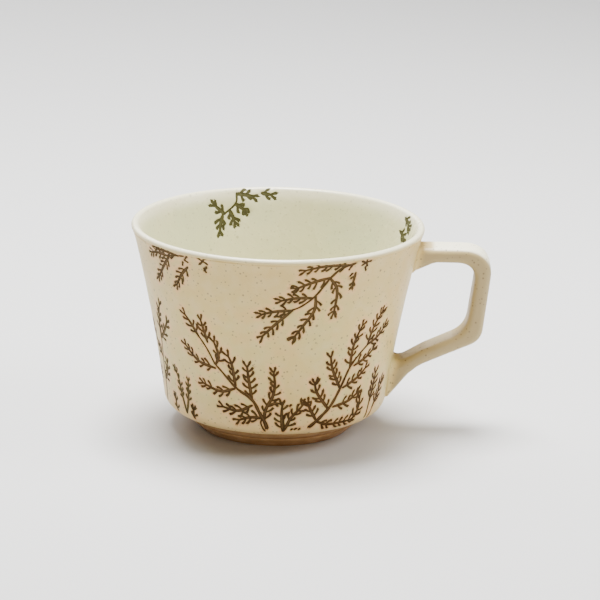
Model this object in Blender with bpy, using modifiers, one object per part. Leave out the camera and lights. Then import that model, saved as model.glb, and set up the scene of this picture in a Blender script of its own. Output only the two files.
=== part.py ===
"""A stoneware mug: a turned cup on a bare foot ring, a strap handle luted on with slip, and the
coats of glaze over them. Metres, +Z up; it stands on Z = 0 and its handle points along +X."""

import math

import bmesh
import bpy
import numpy as np

MM = 0.001

# Cup, over the glaze. Radii are from the cup's own axis and heights from the table.
HEIGHT = 71.75 * MM
RIM_RADIUS = 50.0 * MM
LIP_THICKNESS = 2.75 * MM
LIP_ROUND = 1.25 * MM
NECK = (49.16 * MM, 68.75 * MM)
TURN = (37.98 * MM, 9.15 * MM)
TURN_ROUND = 2.6 * MM
WALL_BOW = 0.8 * MM
WALL_THICKNESS_LOW = 4.6 * MM

# Inside of the cup
FLOOR_HEIGHT = 9.4 * MM
FLOOR_RADIUS = 24.0 * MM
CORNER_HEIGHT = 19.0 * MM

# Foot, bare clay
FOOT_TOP = (29.4 * MM, 3.64 * MM)
FOOT_RADIUS = 26.0 * MM
FOOT_INNER_RADIUS = 22.6 * MM
RECESS_RADIUS = 21.5 * MM
FOOT_EDGE = 0.4 * MM

# Glaze coats and the joints between pieces
GLAZE = 0.5 * MM
GAP = 0.3 * MM
CLAY_DEPTH = GLAZE + GAP
LAP_END_HEIGHT = 70.3 * MM
GLAZE_LINE_RADIUS = 35.2 * MM

# Handle: a strap with this side outline, as corners (x from the cup's axis, z, rounding radius).
STRAP_HALF_WIDTH = 6.0 * MM
STRAP_ROUND = 2.0 * MM
ARM_TOP = 64.9 * MM
ARM_UNDER = 59.7 * MM
STRAP_CORNERS = [
    (41.0 * MM, ARM_TOP, 0.0),
    (74.0 * MM, ARM_TOP, 8.5 * MM),
    (70.4 * MM, 32.4 * MM, 6.0 * MM),
    (47.4 * MM, 22.2 * MM, 16.0 * MM),
    (38.9 * MM, 11.2 * MM, 0.0),
    (33.0 * MM, 11.2 * MM, 0.0),
    (33.0 * MM, 18.5 * MM, 0.0),
    (51.0 * MM, 29.1 * MM, 20.0 * MM),
    (64.95 * MM, 35.5 * MM, 8.0 * MM),
    (68.1 * MM, ARM_UNDER, 5.5 * MM),
    (53.6 * MM, ARM_UNDER, 6.0 * MM),
    (46.6 * MM, 56.4 * MM, 3.0 * MM),
    (41.0 * MM, 49.0 * MM, 0.0),
]
SLIP_SPREAD = 1.2 * MM
SLIP_PAD = 0.5 * MM
SLIP_AT_WALL = CLAY_DEPTH - GAP
SLIP_AT_HANDLE = SLIP_AT_WALL - SLIP_PAD
UPPER_JOINT = (45.0 * MM, 69.0 * MM)
LOWER_JOINT = (4.5 * MM, 36.0 * MM)

# Facets
TURNS = 48
WALL_STEPS = 9
ARC_STEP = math.radians(16)

CLAY_BROWN = (0.20, 0.11, 0.05)
SLIP_BROWN = (0.24, 0.14, 0.07)
CREAM_GLAZE = (0.62, 0.54, 0.41)
WHITE_GLAZE = (0.74, 0.74, 0.66)


def remove_everything():
    for old in list(bpy.data.objects):
        bpy.data.objects.remove(old)


def new_collection(name):
    made = bpy.data.collections.new(name)
    bpy.context.scene.collection.children.link(made)
    return made


def new_material(name, colour, roughness):
    made = bpy.data.materials.new(name)
    made.use_nodes = True
    shader = made.node_tree.nodes["Principled BSDF"]
    shader.inputs["Base Color"].default_value = (*colour, 1.0)
    shader.inputs["Roughness"].default_value = roughness
    shader.inputs["Metallic"].default_value = 0.0
    return made


# --- outlines -----------------------------------------------------------------------------------


def arc(centre, radii, start, end, count):
    """Points on an ellipse from one angle to another, in degrees, both ends included."""
    angles = np.radians(np.linspace(start, end, count))
    return [(centre[0] + radii[0] * math.cos(a), centre[1] + radii[1] * math.sin(a)) for a in angles]


def curve(start, corner, end, count):
    """Points on the smooth bend that leaves start and reaches end, both aimed at the corner."""
    points = []
    for t in np.linspace(0.0, 1.0, count):
        a, b, c = (1 - t) ** 2, 2 * t * (1 - t), t * t
        points.append(tuple(a * np.array(start) + b * np.array(corner) + c * np.array(end)))
    return points


def toward(start, end, distance):
    """The point that lies a distance from start on the way to end."""
    direction = np.array(end) - np.array(start)
    return tuple(np.array(start) + direction * distance / np.linalg.norm(direction))


def wall_radius(z):
    """The flared wall over the glaze: a straight side that bows inwards a little."""
    t = (z - TURN[1]) / (NECK[1] - TURN[1])
    return TURN[0] + (NECK[0] - TURN[0]) * t - 4 * WALL_BOW * t * (1 - t)


def inner_radius(z):
    """The inside of the wall, which grows thicker towards the floor."""
    t = (NECK[1] - z) / (NECK[1] - CORNER_HEIGHT)
    thickness = LIP_THICKNESS + (WALL_THICKNESS_LOW - LIP_THICKNESS) * t
    return wall_radius(z) - thickness


def inside_section():
    """From the middle of the floor, up the inside, to the top of the lip."""
    corner_start = (FLOOR_RADIUS, FLOOR_HEIGHT)
    corner_end = (inner_radius(CORNER_HEIGHT), CORNER_HEIGHT)
    corner_tip = (corner_end[0] - 1.6 * MM, FLOOR_HEIGHT)
    wall = [(inner_radius(z), z) for z in np.linspace(CORNER_HEIGHT, NECK[1], 7)[1:]]
    lip_inner = LIP_THICKNESS - LIP_ROUND
    lip_centre = (RIM_RADIUS - LIP_ROUND, HEIGHT - lip_inner)
    lip = arc(lip_centre, (lip_inner, lip_inner), 180, 90, 4)
    return [(0.0, FLOOR_HEIGHT), *curve(corner_start, corner_tip, corner_end, 7), *wall, *lip]


def lap_section():
    """From the top of the lip, over it, to the end of the liner glaze's lap."""
    lip = arc((RIM_RADIUS - LIP_ROUND, HEIGHT - LIP_ROUND), (LIP_ROUND, LIP_ROUND), 90, 0, 4)
    return [*lip[1:], (RIM_RADIUS - 0.05 * MM, LAP_END_HEIGHT)]


def wall_section():
    """From just under the lap, down the wall and round the turn, to the glaze line."""
    turn_start_height = TURN[1] + TURN_ROUND
    turn_start = (wall_radius(turn_start_height), turn_start_height)
    top = [(RIM_RADIUS - 0.15 * MM, LAP_END_HEIGHT - GAP), (NECK[0] + 0.2 * MM, NECK[1] + 0.35 * MM)]
    wall = [(wall_radius(z), z) for z in np.linspace(NECK[1] - MM, turn_start_height, WALL_STEPS)]
    turn = curve(turn_start, TURN, toward(TURN, FOOT_TOP, TURN_ROUND), 4)
    return [*top, *wall[:-1], *turn, slope_point(GLAZE_LINE_RADIUS)]


def bare_section():
    """The bare clay below the glaze line, down to the foot ring."""
    seam = FOOT_TOP[1] + GAP
    slope = (TURN[0] - FOOT_TOP[0]) / (TURN[1] - FOOT_TOP[1])
    return [slope_point(GLAZE_LINE_RADIUS - GAP), (FOOT_TOP[0] + GAP * slope, seam)]


def slope_point(radius):
    """The point at this radius on the sloping underside between the turn and the foot."""
    t = (radius - FOOT_TOP[0]) / (TURN[0] - FOOT_TOP[0])
    return (radius, FOOT_TOP[1] + t * (TURN[1] - FOOT_TOP[1]))


def sunk(path, depth):
    """The path moved to its right-hand side, which is where the clay is. Minus lifts it off."""
    points = np.array(path)
    tangents = np.gradient(points, axis=0)
    tangents /= np.linalg.norm(tangents, axis=1)[:, None]
    moved = points + depth * np.column_stack([tangents[:, 1], -tangents[:, 0]])
    moved[points[:, 0] == 0, 0] = 0.0
    return [tuple(p) for p in moved]


def rounded_outline(corners):
    """The corners joined by straight runs, with an arc of the stated radius at each corner."""
    points = []
    for i, (x, z, radius) in enumerate(corners):
        here = np.array((x, z))
        if radius == 0:
            points.append((x, z))
            continue
        before = np.array(corners[i - 1][:2]) - here
        after = np.array(corners[(i + 1) % len(corners)][:2]) - here
        before /= np.linalg.norm(before)
        after /= np.linalg.norm(after)
        half_angle = math.acos(float(before @ after)) / 2
        middle = (before + after) / np.linalg.norm(before + after)
        centre = here + middle * radius / math.sin(half_angle)
        start = here + before * radius / math.tan(half_angle) - centre
        sweep = math.pi - 2 * half_angle
        if before[0] * after[1] - before[1] * after[0] > 0:
            sweep = -sweep
        count = max(2, math.ceil(abs(sweep) / ARC_STEP))
        for k in range(count + 1):
            c, s = math.cos(sweep * k / count), math.sin(sweep * k / count)
            points.append((centre[0] + c * start[0] - s * start[1], centre[1] + s * start[0] + c * start[1]))
    return points


# --- objects ------------------------------------------------------------------------------------


def place(thing, collection, frame, material=None):
    collection.objects.link(thing)
    thing.parent = frame
    if material:
        thing.data.materials.append(material)
    return thing


def turned(name, path, closed):
    """A solid of revolution about the cup's axis from a profile that runs down its outer side."""
    mesh = bpy.data.meshes.new(name)
    edges = [(i, i + 1) for i in range(len(path) - 1)]
    if closed:
        edges.append((len(path) - 1, 0))
    mesh.from_pydata([(r, 0.0, z) for r, z in path], edges, [])
    made = bpy.data.objects.new(name, mesh)
    screw = made.modifiers.new("turn", "SCREW")
    screw.axis = "Z"
    screw.angle = 2 * math.pi
    screw.steps = TURNS
    screw.render_steps = TURNS
    screw.use_merge_vertices = True
    screw.merge_threshold = 0.01 * MM
    screw.use_smooth_shade = True
    return made


def shell(name, section, near, far):
    """A turned coat between two depths under the section."""
    return turned(name, [*sunk(section, near), *reversed(sunk(section, far))], closed=True)


def wall_block(name, depth):
    """Everything inside the cup's wall at this depth, as one solid block."""
    path = sunk([*wall_section(), *bare_section()], depth)
    return turned(name, [(0.0, path[0][1]), *path, (0.0, path[-1][1])], closed=False)


def strap(name, grow):
    """The handle's strap, its skin moved out by grow. Its ends run on into the cup's wall."""
    flat = bpy.data.curves.new(name, "CURVE")
    flat.dimensions = "2D"
    flat.fill_mode = "BOTH"
    outline = rounded_outline(STRAP_CORNERS)
    spline = flat.splines.new("POLY")
    spline.points.add(len(outline) - 1)
    for point, (x, z) in zip(spline.points, outline):
        point.co = (x, z, 0.0, 1.0)
    spline.use_cyclic_u = True
    flat.extrude = STRAP_HALF_WIDTH - STRAP_ROUND
    flat.offset = -STRAP_ROUND
    flat.bevel_depth = STRAP_ROUND + grow
    flat.bevel_resolution = 2
    guide = bpy.data.objects.new(name + "_outline", flat)
    bpy.context.scene.collection.objects.link(guide)
    evaluated = guide.evaluated_get(bpy.context.evaluated_depsgraph_get())
    mesh = bpy.data.meshes.new_from_object(evaluated)
    bpy.data.objects.remove(guide)
    weld_outward(mesh)
    mesh.name = name
    made = bpy.data.objects.new(name, mesh)
    made.rotation_euler = (math.pi / 2, 0.0, 0.0)
    return made


def weld_outward(mesh):
    """Joins the caps to the sides, and points every face out."""
    work = bmesh.new()
    work.from_mesh(mesh)
    bmesh.ops.remove_doubles(work, verts=work.verts, dist=0.01 * MM)
    bmesh.ops.recalc_face_normals(work, faces=work.faces)
    work.to_mesh(mesh)
    work.free()


def boolean(target, operation, tool):
    cut = target.modifiers.new(operation.lower() + "_" + tool.name, "BOOLEAN")
    cut.operation = operation
    cut.solver = "EXACT"
    cut.object = tool


class Tools:
    """Cutters and guides, kept in their own collection and out of the build."""

    def __init__(self, collection, frame):
        self.collection = collection
        self.frame = frame

    def add(self, thing):
        place(thing, self.collection, self.frame)
        thing.hide_render = True
        thing.display_type = "WIRE"
        return thing


# --- pieces -------------------------------------------------------------------------------------


def make_clay_body():
    """The cup's clay: sunk under the glaze, and standing out to the full outline where it is bare."""
    bare = bare_section()
    glazed = sunk([*inside_section(), *lap_section(), *wall_section(), bare[0]], CLAY_DEPTH)
    underside = (0.0, bare[-1][1])
    return turned("clay_body", [*glazed, *bare, underside], closed=False)


def make_foot_ring():
    outer = [
        FOOT_TOP,
        (FOOT_RADIUS + 0.3 * FOOT_EDGE, FOOT_EDGE),
        (FOOT_RADIUS - FOOT_EDGE, 0.0),
    ]
    inner = [
        (FOOT_INNER_RADIUS + FOOT_EDGE, 0.0),
        (FOOT_INNER_RADIUS, FOOT_EDGE),
        (RECESS_RADIUS, FOOT_TOP[1]),
    ]
    return turned("foot_ring", [*outer, *inner], closed=True)


def make_liner_glaze():
    skin = [*inside_section(), *lap_section()]
    return turned("liner_glaze", [*skin, *reversed(sunk(skin, GLAZE))], closed=False)


def make_outer_glaze(tools):
    """The cream coat. It stays clear of the slip round the handle's two ends."""
    made = shell("outer_glaze", wall_section(), 0.0, GLAZE)
    boolean(made, "DIFFERENCE", tools.add(strap("joint_window", SLIP_SPREAD + GAP)))
    return made


def make_base_glaze():
    """The disc of glaze in the recess inside the foot ring."""
    top = FOOT_TOP[1]
    edge = RECESS_RADIUS - GAP
    outline = [(0.0, top), (edge, top), (edge + 0.1 * MM, top - GLAZE), (0.0, top - GLAZE)]
    return turned("base_glaze", outline, closed=False)


def make_handle(tools):
    """The clay strap, cut to the wall it is luted on."""
    made = strap("handle", -CLAY_DEPTH)
    boolean(made, "DIFFERENCE", tools.add(wall_block("handle_seat", SLIP_AT_HANDLE - GAP)))
    return made


def make_handle_joint(name, heights, tools):
    """Slip between the handle's end and the wall, squeezed out into a collar round the strap."""
    low, high = heights
    section = [p for p in [*wall_section(), *bare_section()] if low < p[1] < high]
    made = strap(name, SLIP_SPREAD)
    band = tools.add(shell(name + "_band", section, -SLIP_SPREAD, SLIP_AT_WALL))
    boolean(made, "INTERSECT", band)
    socket = tools.add(strap(name + "_socket", GAP - CLAY_DEPTH))
    boolean(socket, "DIFFERENCE", tools.add(wall_block(name + "_pad", SLIP_AT_HANDLE)))
    boolean(made, "DIFFERENCE", socket)
    return made


def make_handle_glaze(tools):
    """A sleeve of the cream coat over the strap, open at both ends."""
    made = strap("handle_glaze", 0.0)
    boolean(made, "DIFFERENCE", tools.add(strap("handle_glaze_inside", -GLAZE)))
    boolean(made, "DIFFERENCE", tools.add(wall_block("handle_glaze_end", -SLIP_SPREAD - GAP)))
    return made


def build_mug():
    remove_everything()
    parts = new_collection("stoneware_mug")
    handle_reach = max(x for x, _ in rounded_outline(STRAP_CORNERS))
    frame = bpy.data.objects.new("mug_frame", None)
    frame.location.x = (RIM_RADIUS - handle_reach) / 2
    parts.objects.link(frame)
    tools = Tools(new_collection("cutters"), frame)

    clay = new_material("bare_clay", CLAY_BROWN, 0.85)
    slip = new_material("joint_slip", SLIP_BROWN, 0.85)
    cream = new_material("cream_glaze", CREAM_GLAZE, 0.45)
    white = new_material("white_glaze", WHITE_GLAZE, 0.25)

    place(make_clay_body(), parts, frame, clay)
    place(make_foot_ring(), parts, frame, clay)
    place(make_handle(tools), parts, frame, clay)
    place(make_handle_joint("handle_joint_upper", UPPER_JOINT, tools), parts, frame, slip)
    place(make_handle_joint("handle_joint_lower", LOWER_JOINT, tools), parts, frame, slip)
    place(make_liner_glaze(), parts, frame, white)
    place(make_outer_glaze(tools), parts, frame, cream)
    place(make_handle_glaze(tools), parts, frame, cream)
    place(make_base_glaze(), parts, frame, white)


build_mug()
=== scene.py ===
# %% [markdown]
# # A stoneware mug with pressed twigs
# The mug is a turned cup of brown clay on a bare foot ring. A strap handle is luted to its side, a
# cream glaze covers the outside, a paler one the inside, and twigs of a conifer were pressed into
# the wet wall and rubbed with dark oxide. The packed CAD model is the fixed frame: it gives every
# place and size, and the pieces below are the finished surfaces that stand for its nodes.

# %% The packed frame
import math
import random

import bpy
import numpy as np
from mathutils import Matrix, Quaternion, Vector
from mathutils.geometry import delaunay_2d_cdt


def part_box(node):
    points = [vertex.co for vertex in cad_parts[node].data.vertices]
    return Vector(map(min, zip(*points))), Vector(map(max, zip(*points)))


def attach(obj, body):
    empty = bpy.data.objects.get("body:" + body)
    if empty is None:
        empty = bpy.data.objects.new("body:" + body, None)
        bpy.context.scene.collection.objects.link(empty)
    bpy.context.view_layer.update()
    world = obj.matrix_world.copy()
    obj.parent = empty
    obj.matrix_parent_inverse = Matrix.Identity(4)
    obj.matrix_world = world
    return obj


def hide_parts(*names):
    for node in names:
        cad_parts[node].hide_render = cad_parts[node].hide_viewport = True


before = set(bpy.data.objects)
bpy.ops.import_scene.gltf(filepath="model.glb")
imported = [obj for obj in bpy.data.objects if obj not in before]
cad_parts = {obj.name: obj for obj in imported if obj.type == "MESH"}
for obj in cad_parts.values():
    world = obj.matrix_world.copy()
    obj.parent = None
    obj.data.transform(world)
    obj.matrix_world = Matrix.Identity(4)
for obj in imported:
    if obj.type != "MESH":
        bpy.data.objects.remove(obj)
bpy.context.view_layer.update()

# %% [markdown]
# All shapes are drawn in millimetres, as a potter would measure them, and only the last step of a
# mesh turns them into metres. The sizes that the frame knows are read from its boxes.

# %% Sizes read from the frame, in millimetres
MM = 0.001
GLAZE_THICKNESS = 0.5


def box_mm(node):
    """The lowest and the highest corner of a node."""
    low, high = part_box(node)
    return np.array(low) / MM, np.array(high) / MM


liner_low, liner_high = box_mm("liner_glaze")
wall_low, _ = box_mm("outer_glaze")
foot_low, foot_high = box_mm("foot_ring")
base_low, base_high = box_mm("base_glaze")
_, strap_high = box_mm("handle_glaze")

AXIS_X = (liner_low[0] + liner_high[0]) / 2
RIM_RADIUS = (liner_high[0] - liner_low[0]) / 2
HEIGHT = liner_high[2]
FLOOR_HEIGHT = liner_low[2] + GLAZE_THICKNESS
GLAZE_LINE_HEIGHT = wall_low[2]
FOOT_TOP = ((foot_high[0] - foot_low[0]) / 2, foot_high[2])
BASE_RADIUS = (base_high[0] - base_low[0]) / 2
BASE_LOW, BASE_HIGH = base_low[2], base_high[2]
STRAP_HALF_WIDTH = strap_high[1]
STRAP_TOP = strap_high[2]
print(f"axis x {AXIS_X:.2f}, rim radius {RIM_RADIUS:.2f}, height {HEIGHT:.2f}")
print(f"glaze line {GLAZE_LINE_HEIGHT:.2f}, foot top {FOOT_TOP}, strap top {STRAP_TOP:.2f}")

# %% [markdown]
# The camera looks at the mug from the front, a little from above, through a long lens, and it is
# rolled by about a degree. It comes first, because everything else is judged through it.

# %% Camera
CAMERA_DISTANCE = 1.0
CAMERA_TILT = math.radians(16.26)
CAMERA_ROLL = math.radians(1.26)
AIM_RIGHT_OF_AXIS = 8.0
AIM_ABOVE_MIDDLE = 8.3
LENS = 174.9

camera_data = bpy.data.cameras.new("camera")
camera_data.lens = LENS
camera_data.sensor_width = 36.0
camera = bpy.data.objects.new("camera", camera_data)
bpy.context.scene.collection.objects.link(camera)
aim = Vector((AXIS_X + AIM_RIGHT_OF_AXIS, 0.0, HEIGHT / 2 + AIM_ABOVE_MIDDLE)) * MM
away = Vector((0.0, -math.cos(CAMERA_TILT), math.sin(CAMERA_TILT)))
camera.location = aim + CAMERA_DISTANCE * away
camera.rotation_mode = "QUATERNION"
camera.rotation_quaternion = (-away).to_track_quat("-Z", "Y") @ Quaternion((0, 0, 1), CAMERA_ROLL)
bpy.context.scene.camera = camera
print("camera at", tuple(round(v, 4) for v in camera.location))

# %% [markdown]
# A turned piece is known by its outline: radius and height as the distance along it grows. Both
# outlines here run the same way, up the inside, over the lip and down the outside, so the glazed
# face is always on the left of the run and the clay on its right. A shallow quadratic bend makes
# every rounded corner, because a wheel-turned corner has no exact arc. The frame's boxes don't tell
# where the wall turns or how thick it is, so those sizes are given here as in the CAD model.

# %% Sizes of the cup
NECK = (49.16, 68.75)
TURN = (37.98, 9.15)
TURN_ROUND = 2.6
WALL_BOW = 0.8
LIP_THICKNESS = 2.75
LIP_ROUND = 1.25
LOW_WALL_THICKNESS = 4.6
FLOOR_RADIUS = 24.0
CORNER_HEIGHT = 19.0
LAP_END_HEIGHT = 70.3
FLARE_DEPTH = 1.75
NECK_DEPTH = 1.5
BEAD = 0.25
print(f"the wall flares by {NECK[0] - TURN[0]:.1f} mm over {NECK[1] - TURN[1]:.1f} mm of height")


# %% Lines and corners
def bend(start, corner, end, count=12):
    """Points that leave start and reach end, both aimed at the corner."""
    start, corner, end = np.array(start), np.array(corner), np.array(end)
    t = np.linspace(0.0, 1.0, count)[:, None]
    return (1 - t) ** 2 * start + 2 * t * (1 - t) * corner + t * t * end


def quarter(centre, radius, start, end, count=10):
    """A round corner between two angles in degrees."""
    angles = np.radians(np.linspace(start, end, count))
    return centre + radius * np.column_stack([np.cos(angles), np.sin(angles)])


def toward(start, end, distance):
    """The point this far from start, on the way to end."""
    step = np.array(end) - np.array(start)
    return np.array(start) + step * distance / np.linalg.norm(step)


def distances(steps):
    """How far along a path each of its points lies, from the steps between them."""
    return np.r_[0.0, np.cumsum(np.linalg.norm(steps, axis=1))]


def points_at(wanted, along, path):
    """The points of a path at the wanted distances along it."""
    return np.column_stack([np.interp(wanted, along, column) for column in path.T])


print("a bend's middle:", bend((0, 0), (1, 0), (1, 1), 3)[1])


# %% [markdown]
# The wall was drawn up on the wheel, so its outline is nearly straight, with a slight bow, and it
# is thicker at the bottom, where it carries the rest. Two short formulas say that. A curve through
# points would say the same with more numbers.

# %% Radius at a height
def wall_radius(z):
    """The outside of the wall, which bows in a little between its neck and its turn."""
    t = (z - TURN[1]) / (NECK[1] - TURN[1])
    return TURN[0] + (NECK[0] - TURN[0]) * t - 4 * WALL_BOW * t * (1 - t)


def inner_radius(z):
    """The inside of the wall, which grows thicker downwards."""
    t = (NECK[1] - z) / (NECK[1] - CORNER_HEIGHT)
    return wall_radius(z) - LIP_THICKNESS - (LOW_WALL_THICKNESS - LIP_THICKNESS) * t


def slope_point(height):
    """The point at this height on the sloping underside between the turn and the foot."""
    t = (height - FOOT_TOP[1]) / (TURN[1] - FOOT_TOP[1])
    return (FOOT_TOP[0] + t * (TURN[0] - FOOT_TOP[0]), height)


print(f"outer radius {wall_radius(40):.1f} and inner radius {inner_radius(40):.1f} at 40 mm")


# %% [markdown]
# The coats, the clay under them and the marks all follow the same outline at different depths. So
# the outline is an object of its own that can say, at any distance along it, where it is and which
# way it faces. Its facing is smoothed over a few neighbours, so that a coat stays even in a corner.

# %% A turned outline
class Outline:
    """A turned outline with, at any distance along it, its point and the direction of its face."""

    SPACING = 0.1
    SMOOTHING = 3
    END_STRETCH = 1.2

    def __init__(self, points):
        points = np.vstack(points)
        keep = np.r_[True, np.linalg.norm(np.diff(points, axis=0), axis=1) > 1e-6]
        points = points[keep]
        along = distances(np.diff(points, axis=0))
        self.length = along[-1]
        self.s = np.linspace(0.0, self.length, max(40, int(self.length / self.SPACING)))
        path = points_at(self.s, along, points)
        self.radius, self.height = path.T
        run = np.gradient(path, self.s, axis=0)
        face = np.column_stack([-run[:, 1], run[:, 0]])
        face = np.pad(face, ((self.SMOOTHING, self.SMOOTHING), (0, 0)), "edge")
        window = np.ones(2 * self.SMOOTHING + 1) / (2 * self.SMOOTHING + 1)
        face = np.column_stack([np.convolve(column, window, "valid") for column in face.T])
        self.face = face / np.linalg.norm(face, axis=1)[:, None]
        before_end = run[np.searchsorted(self.s, self.length - self.END_STRETCH)]
        self.end_run = before_end / np.linalg.norm(before_end)

    def at(self, s, depth=0.0):
        """Radius and height at the distance s, sunk into the clay by depth."""
        face_r = np.interp(s, self.s, self.face[:, 0])
        face_z = np.interp(s, self.s, self.face[:, 1])
        radius = np.interp(s, self.s, self.radius) - depth * face_r
        return radius, np.interp(s, self.s, self.height) - depth * face_z

    def distance_at(self, height):
        """The distance along a wall at which this height is reached."""
        crest = int(np.argmax(self.height))
        if crest < len(self.s) / 2:
            return np.interp(-np.asarray(height), -self.height[crest:], self.s[crest:])
        return np.interp(height, self.height[:crest], self.s[:crest])


ramp = Outline([[(0, 0), (10, 10)]])
print("face of a test ramp:", ramp.face[0].round(2))


# %% [markdown]
# The liner runs over the lip and laps a little way down the outside. The outer coat starts tucked
# under that lap and ends in a small bead at the glaze line, where the glaze gathered as it melted.

# %% Outlines of the liner and the wall
def liner_outline():
    """From the middle of the floor, up the inside, over the lip and down to the end of the lap."""
    corner_end = (inner_radius(CORNER_HEIGHT), CORNER_HEIGHT)
    corner = bend((FLOOR_RADIUS, FLOOR_HEIGHT), (corner_end[0] - 1.6, FLOOR_HEIGHT), corner_end, 30)
    heights = np.linspace(CORNER_HEIGHT, NECK[1] - FLARE_DEPTH, 60)
    wall = np.column_stack([inner_radius(heights), heights])
    inner_round = LIP_THICKNESS - LIP_ROUND
    lip_inside = quarter((RIM_RADIUS - LIP_ROUND, HEIGHT - inner_round), inner_round, 155, 90)
    flare = bend(wall[-1], (inner_radius(NECK[1]) + 0.08, NECK[1] + 0.3), lip_inside[0])
    lip_outside = quarter((RIM_RADIUS - LIP_ROUND, HEIGHT - LIP_ROUND), LIP_ROUND, 90, 0)
    lap_end = (RIM_RADIUS - 0.5, LAP_END_HEIGHT - 0.2)
    lap = bend((RIM_RADIUS - 0.02, LAP_END_HEIGHT + 0.1), (RIM_RADIUS - 0.04, lap_end[1]), lap_end)
    return Outline([[(0.0, FLOOR_HEIGHT)], corner, wall, flare, lip_inside, lip_outside, lap])


def wall_outline():
    """From under the lap, down the neck and the wall, and round the turn to the bead."""
    tucked = [(RIM_RADIUS - 0.7, LAP_END_HEIGHT + 0.5), (RIM_RADIUS - 0.42, LAP_END_HEIGHT + 0.1)]
    wall_top = (wall_radius(NECK[1] - NECK_DEPTH), NECK[1] - NECK_DEPTH)
    neck_start = (RIM_RADIUS - 0.22, LAP_END_HEIGHT - 0.4)
    neck = bend(neck_start, (NECK[0] + 0.25, NECK[1] + 0.4), wall_top)
    heights = np.linspace(wall_top[1], TURN[1] + TURN_ROUND, 80)
    wall = np.column_stack([wall_radius(heights), heights])
    turn_start = (wall_radius(TURN[1] + TURN_ROUND), TURN[1] + TURN_ROUND)
    turn = bend(turn_start, TURN, toward(TURN, FOOT_TOP, TURN_ROUND), 20)
    end = np.array(slope_point(GLAZE_LINE_HEIGHT))
    down = toward((0, 0), np.array(FOOT_TOP) - TURN, BEAD)
    into = np.array([down[1], -down[0]]) * 1.2
    return Outline([tucked, neck, wall, turn, bend(end, end + down, end + down + into, 6)])


liner = liner_outline()
wall = wall_outline()
print(f"liner outline {liner.length:.1f} mm long, wall outline {wall.length:.1f} mm long")

# %% [markdown]
# A glazed surface is never true. Slow waves, the same all the way round, move each surface in by
# up to a tenth of a millimetre, and the two edges that a glaze leaves, its lap over the rim and its
# line above the foot, wander by a few tenths. Whole numbers of waves close the circle.

# %% From the unrolled surface to the mug
COLUMNS = 192
REFERENCE_RADIUS = 44.0
SEAM = math.pi / 2


def waves(angle, counts, phases):
    """A mean of sine waves round the mug, between -1 and 1."""
    return sum(np.sin(n * angle + p) for n, p in zip(counts, phases)) / len(counts)


def unevenness(angle, height):
    """How far the surface has sunk, from 0 to 0.1 mm."""
    broad = waves(angle + 0.02 * height, (2, 5, 9), (0.4, 2.1, 4.0))
    rings = np.sin(0.55 * height + 0.8 * np.sin(angle))
    return 0.05 + 0.035 * broad + 0.012 * rings


def edge_wander(angle):
    """How far the edge of a coat strays, from -1 to 1."""
    return waves(angle, (3, 7, 13, 22), (1.0, 0.2, 3.3, 5.1))


def on_mug(outline, angle, s, depth, wander=0.0, reach=1.6):
    """Points on the mug, from their angle round it and their distance along an outline. The far
    edge of the outline drifts along its own run by up to wander."""
    radius, height = outline.at(s, depth)
    face_r = np.interp(s, outline.s, outline.face[:, 0])
    radius = radius - unevenness(angle, height) * face_r
    share = np.clip(1.25 - (outline.length - s) / reach, 0, 1)
    drift = wander * edge_wander(angle) * share**2
    radius, height = radius + drift * outline.end_run[0], height + drift * outline.end_run[1]
    return np.column_stack([AXIS_X + radius * np.sin(angle), -radius * np.cos(angle), height])


print(f"a column of the unrolled surface is {2 * math.pi * REFERENCE_RADIUS / COLUMNS:.2f} mm wide")

# %% [markdown]
# The twigs are drawn on the unrolled wall. A control point is (degrees from the front towards the
# handle, height in millimetres). In the unrolled plane a row is stretched where the cup is narrow,
# so every width and leaf length is worked out in true millimetres and stretched back. A frond has
# leaflets in loose pairs, so it is drawn by rule; no two leaflets get the same size, turn or shade.

# %% Strokes, leaflets and fronds
RIB_SHAPE = ([0.0, 0.2, 0.7, 1.0], [1.0, 1.5, 1.3, 0.9])
LEAF_SHAPE = np.array([0.95, 0.9, 1.12, 1.2])
LEAF_SPREAD = (60, 80)
LEAF_CURL = (0.4, 0.9)
LEAF_SIZES = (0.8, 1.12)
LEAF_SHADES = (-0.15, 0.25)
MISSING_LEAVES = 0.06


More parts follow.
